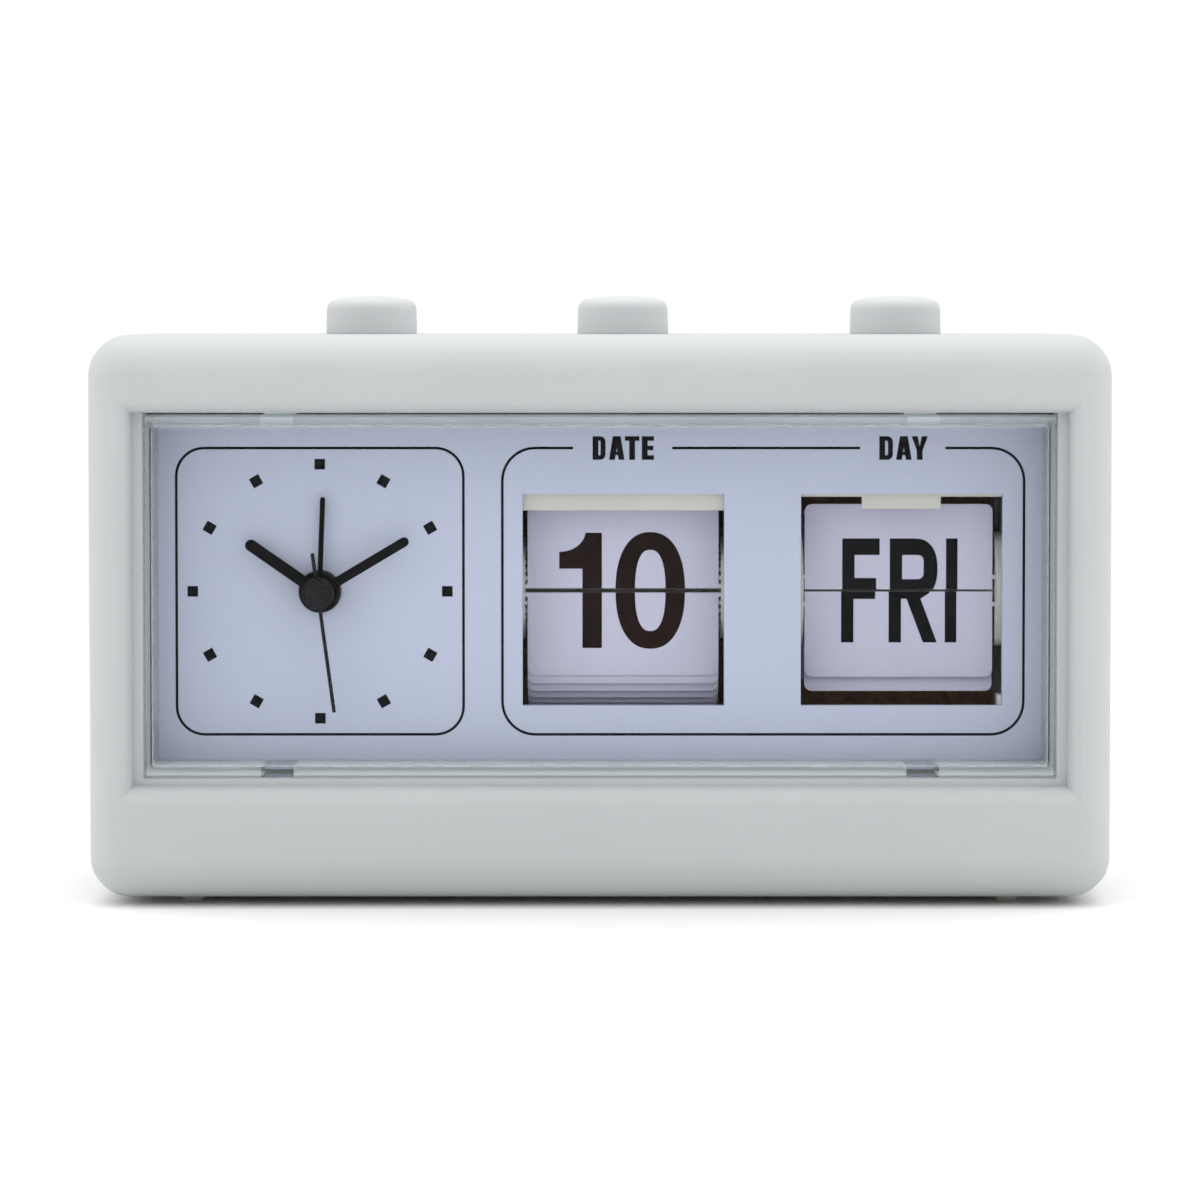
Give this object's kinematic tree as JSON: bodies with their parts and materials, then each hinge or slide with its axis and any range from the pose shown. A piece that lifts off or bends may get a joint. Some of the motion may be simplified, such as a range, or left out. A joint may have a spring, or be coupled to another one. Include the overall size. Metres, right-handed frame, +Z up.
{
  "type": "calendar alarm clock",
  "caption": "Wide white desk clock: an alarm dial with hands beside a split-flap date and day display behind one clear lens, with push buttons on top and setting knobs behind.",
  "frame": {"origin": "under the middle of the clock, on the plane that the feet stand on", "axes": "+X to the right seen from the front, +Y to the back, +Z up"},
  "size_m": [0.19, 0.07, 0.1133],
  "materials": {
    "white_abs": "fine moulded satin",
    "clear_lens": "clear polished",
    "dial_face": "satin printed",
    "foot_rubber": "matte",
    "hand_black": "satin",
    "cream_plastic": "satin",
    "grey_plastic": "satin",
    "leaf_film": "satin",
    "brown_board": "matte",
    "black_plastic": "satin",
    "gear_nylon": "satin",
    "brass": "turned",
    "steel": "plated"
  },
  "bodies": {
    "case": {"front_case": "white_abs", "rear_cover": "white_abs", "lens": "clear_lens", "dial_plate": "dial_face", "rubber_feet": "foot_rubber", "calendar_frame": "cream_plastic", "button_bracket": "grey_plastic", "calendar_backboard": "brown_board", "movement_front": "black_plastic", "movement_back": "black_plastic", "buzzer": "black_plastic", "alarm_switch": "black_plastic", "case_screws": "steel", "dial_screws": "steel", "bracket_screws": "steel", "date_axle": "steel", "day_axle": "steel", "battery_contact_plate": "steel", "battery_contact_spring": "steel", "alarm_button_spring": "steel", "date_button_spring": "steel", "day_button_spring": "steel"},
    "door": {"battery_door": "white_abs"},
    "seconds": {"seconds_arbor": "brass", "second_hand": "hand_black"},
    "minutes": {"minute_tube": "brass", "minute_hand": "hand_black"},
    "hours": {"hour_pipe": "gear_nylon", "hour_hand": "hand_black"},
    "alarm_time": {"alarm_pipe": "gear_nylon", "alarm_hand": "hand_black"},
    "time_setter": {"time_set_knob": "white_abs", "minute_wheel": "gear_nylon"},
    "alarm_setter": {"alarm_set_knob": "white_abs", "alarm_pinion": "gear_nylon"},
    "alarm_push": {"alarm_button": "white_abs"},
    "date_push": {"date_button": "white_abs", "date_pawl": "grey_plastic"},
    "day_push": {"day_button": "white_abs", "day_pawl": "grey_plastic"},
    "date_roll": {"date_drum": "cream_plastic", "date_upper_leaves": "leaf_film", "date_lower_leaves": "leaf_film"},
    "date_flip": {"date_flip_leaf": "leaf_film"},
    "day_roll": {"day_drum": "cream_plastic", "day_upper_leaves": "leaf_film"},
    "day_flip": {"day_flip_leaf": "leaf_film"},
    "day_hang_1": {"day_lower_leaf_1": "leaf_film"},
    "day_hang_2": {"day_lower_leaf_2": "leaf_film"},
    "day_hang_3": {"day_lower_leaf_3": "leaf_film"}
  },
  "joints": [
    {"name": "door_slide", "type": "slide", "parent": "case", "child": "door", "axis": [0, 1, 0], "range_m": [0, 0.03]},
    {"name": "second_turn", "type": "hinge", "parent": "case", "child": "seconds", "pos_m": [-0.0528, 0, 0.05755], "axis": [0, 1, 0], "continuous": true},
    {"name": "time_set_turn", "type": "hinge", "parent": "case", "child": "time_setter", "pos_m": [-0.0408, 0, 0.05755], "axis": [0, 1, 0], "continuous": true},
    {"name": "minute_turn", "type": "hinge", "parent": "case", "child": "minutes", "pos_m": [-0.0528, 0, 0.05755], "axis": [0, 1, 0], "continuous": true},
    {"name": "hour_turn", "type": "hinge", "parent": "case", "child": "hours", "pos_m": [-0.0528, 0, 0.05755], "axis": [0, 1, 0], "continuous": true},
    {"name": "alarm_set_turn", "type": "hinge", "parent": "case", "child": "alarm_setter", "pos_m": [-0.0648, 0, 0.05755], "axis": [0, 1, 0], "continuous": true},
    {"name": "alarm_turn", "type": "hinge", "parent": "case", "child": "alarm_time", "pos_m": [-0.0528, 0, 0.05755], "axis": [0, 1, 0], "continuous": true},
    {"name": "alarm_press", "type": "slide", "parent": "case", "child": "alarm_push", "axis": [0, 0, -1], "range_m": [0, 0.003], "stiffness_N_per_m": 300, "springref_m": -0.003, "deforming": ["alarm_button_spring"]},
    {"name": "date_press", "type": "slide", "parent": "case", "child": "date_push", "axis": [0, 0, -1], "range_m": [0, 0.003], "stiffness_N_per_m": 300, "springref_m": -0.003, "deforming": ["date_button_spring"]},
    {"name": "day_press", "type": "slide", "parent": "case", "child": "day_push", "axis": [0, 0, -1], "range_m": [0, 0.003], "stiffness_N_per_m": 300, "springref_m": -0.003, "deforming": ["day_button_spring"]},
    {"name": "date_roll_turn", "type": "hinge", "parent": "case", "child": "date_roll", "pos_m": [0.0044, -0.00124, 0.05715], "axis": [1, 0, 0], "range_deg": [0, 11.61]},
    {"name": "date_flip_turn", "type": "hinge", "parent": "date_roll", "child": "date_flip", "pos_m": [0.0044, -0.0092, 0.05796], "axis": [1, 0, 0], "range_deg": [0, 168.39]},
    {"name": "day_roll_turn", "type": "hinge", "parent": "case", "child": "day_roll", "pos_m": [0.0569, -0.00379, 0.05715], "axis": [1, 0, 0], "range_deg": [0, 51.43]},
    {"name": "day_flip_turn", "type": "hinge", "parent": "day_roll", "child": "day_flip", "pos_m": [0.0569, -0.0092, 0.05975], "axis": [1, 0, 0], "range_deg": [0, 128.57]},
    {"name": "day_hang_1_turn", "type": "hinge", "parent": "day_roll", "child": "day_hang_1", "pos_m": [0.0569, -0.0092, 0.05455], "axis": [1, 0, 0], "range_deg": [-51.43, 0]},
    {"name": "day_hang_2_turn", "type": "hinge", "parent": "day_roll", "child": "day_hang_2", "pos_m": [0.0569, -0.00513, 0.0513], "axis": [1, 0, 0], "range_deg": [-51.43, 0]},
    {"name": "day_hang_3_turn", "type": "hinge", "parent": "day_roll", "child": "day_hang_3", "pos_m": [0.0569, -0.00005, 0.05246], "axis": [1, 0, 0], "range_deg": [-25.71, 0]}
  ],
  "couplings": [
    {"joint": "minute_turn", "follows": "time_set_turn", "ratio": -3},
    {"joint": "hour_turn", "follows": "time_set_turn", "ratio": -0.25},
    {"joint": "alarm_turn", "follows": "alarm_set_turn", "ratio": -0.5},
    {"joint": "date_roll_turn", "follows": "date_press", "rad_per_m": 67.561},
    {"joint": "date_flip_turn", "follows": "date_press", "rad_per_m": 979.64},
    {"joint": "day_roll_turn", "follows": "day_press", "rad_per_m": 299.2},
    {"joint": "day_flip_turn", "follows": "day_press", "rad_per_m": 748},
    {"joint": "day_hang_1_turn", "follows": "day_press", "rad_per_m": -299.2},
    {"joint": "day_hang_2_turn", "follows": "day_press", "rad_per_m": -299.2},
    {"joint": "day_hang_3_turn", "follows": "day_press", "rad_per_m": -149.6}
  ]
}
